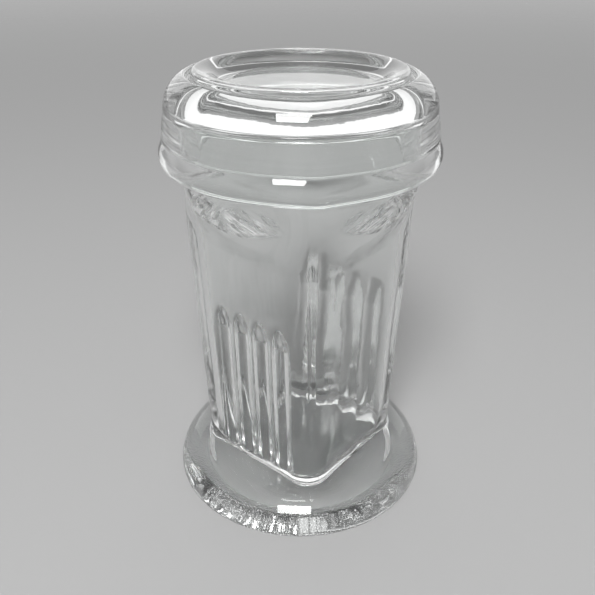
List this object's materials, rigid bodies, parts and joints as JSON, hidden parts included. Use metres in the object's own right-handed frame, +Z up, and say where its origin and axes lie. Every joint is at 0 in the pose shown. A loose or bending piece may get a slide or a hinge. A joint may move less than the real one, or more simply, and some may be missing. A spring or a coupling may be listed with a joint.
{
  "type": "slide staining jar",
  "caption": "Pressed-glass jar with a square ribbed well for microscope slides, a round foot and a loose slip-over glass lid that lifts off.",
  "frame": {"origin": "centre of the ring that the foot stands on", "axes": "+Z up along the jar's axis; the two ribbed walls face -X and +X, so slides stand parallel to the XZ plane"},
  "size_m": [0.0628, 0.0628, 0.0995],
  "materials": {
    "jar_glass": "clear colourless pressed glass, fire polished, with faint waves and seeds",
    "lid_glass": "clear colourless pressed glass, fire polished"
  },
  "bodies": {
    "jar": {"staining_jar": "jar_glass"},
    "cover": {"lid": "lid_glass"}
  },
  "joints": [
    {"name": "lid_lift", "type": "slide", "parent": "jar", "child": "cover", "axis": [0, 0, 1], "range_m": [0, 0.03]}
  ]
}
